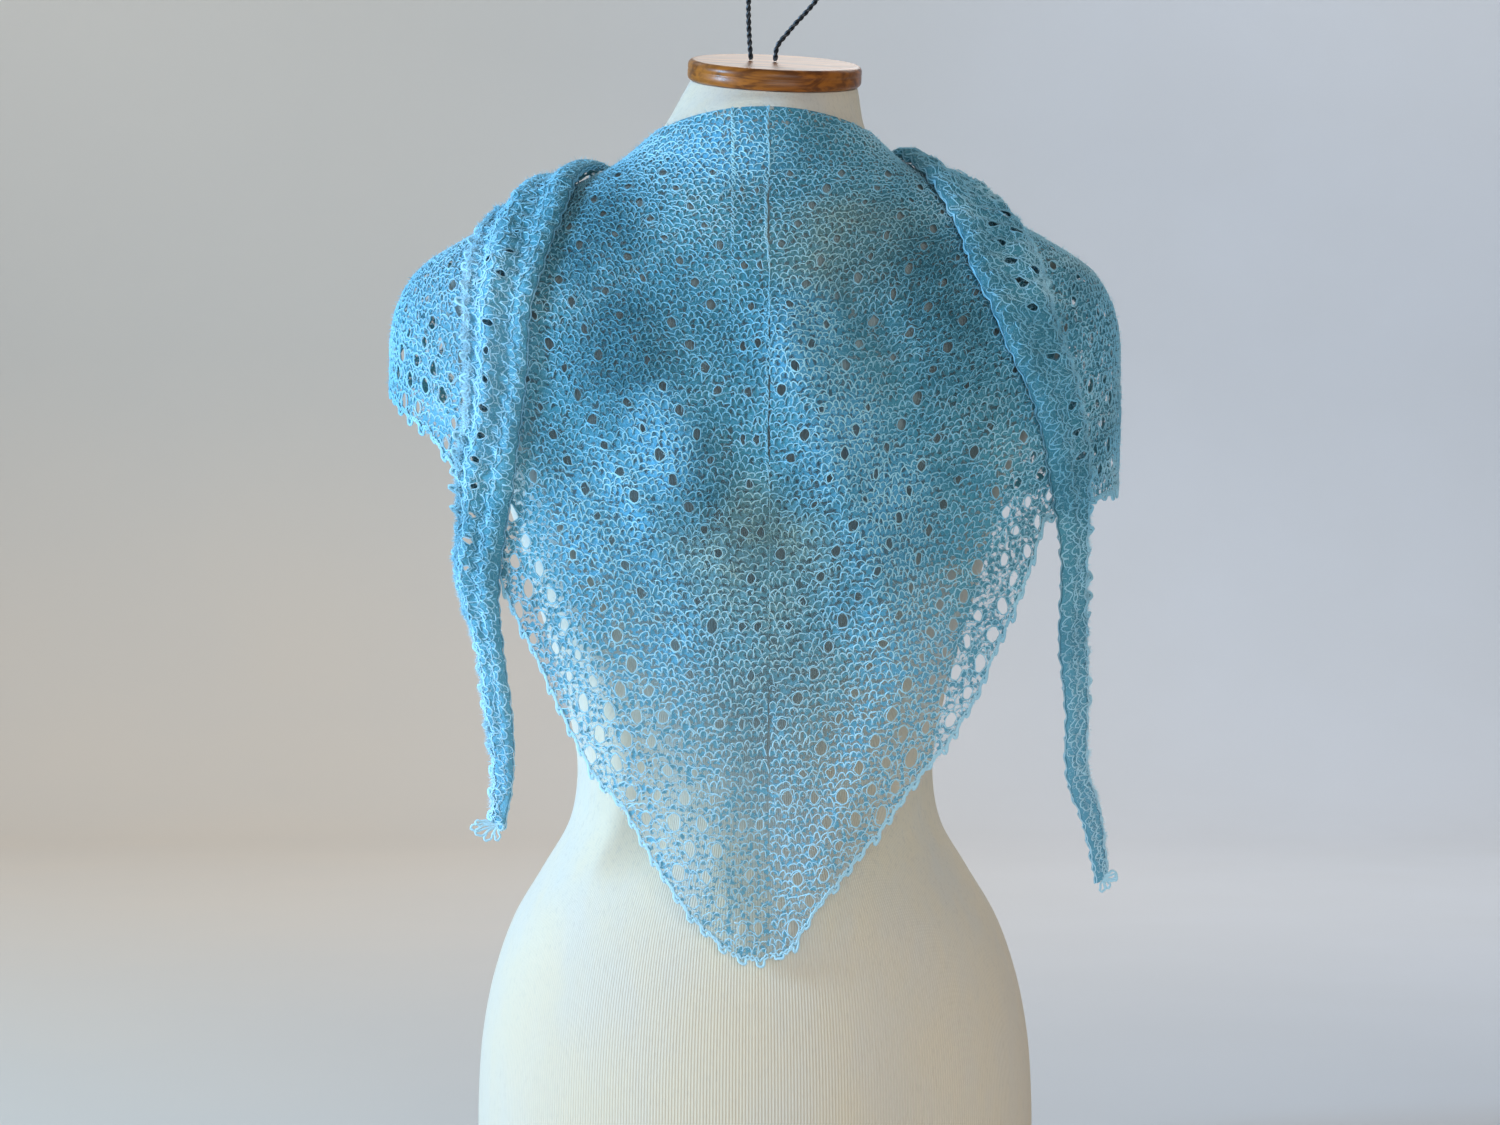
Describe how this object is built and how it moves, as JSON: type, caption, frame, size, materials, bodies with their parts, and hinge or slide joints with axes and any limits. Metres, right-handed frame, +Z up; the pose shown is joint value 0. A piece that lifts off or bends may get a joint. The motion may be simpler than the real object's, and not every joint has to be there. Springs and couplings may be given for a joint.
{
  "type": "lace shawl on dress form",
  "caption": "Triangular knitted lace shawl worn point forward on a limbless dress form, its wings crossed behind and hanging in front as tails.",
  "frame": {"origin": "middle of the dress form's flat base, on the surface that it stands on", "axes": "+Z up along the dress form, -Y towards the front, where the shawl's point hangs, and +X to the right as seen from the front"},
  "size_m": [0.4818, 0.2756, 0.8649],
  "materials": {
    "lace_yarn": "fine fuzzy yarn, sky blue to teal",
    "ribbed_jersey": "matt cream fine ribbed jersey",
    "varnished_wood": "varnished",
    "loop_steel": "dark twisted wire"
  },
  "bodies": {
    "root": {"front_left": "lace_yarn", "front_right": "lace_yarn", "centre_strip": "lace_yarn", "wrap_from_right": "lace_yarn", "wrap_from_left": "lace_yarn", "tail_left": "lace_yarn", "tail_right": "lace_yarn", "form_torso": "ribbed_jersey", "neck_cap": "varnished_wood", "hanging_loop": "loop_steel"}
  },
  "joints": []
}
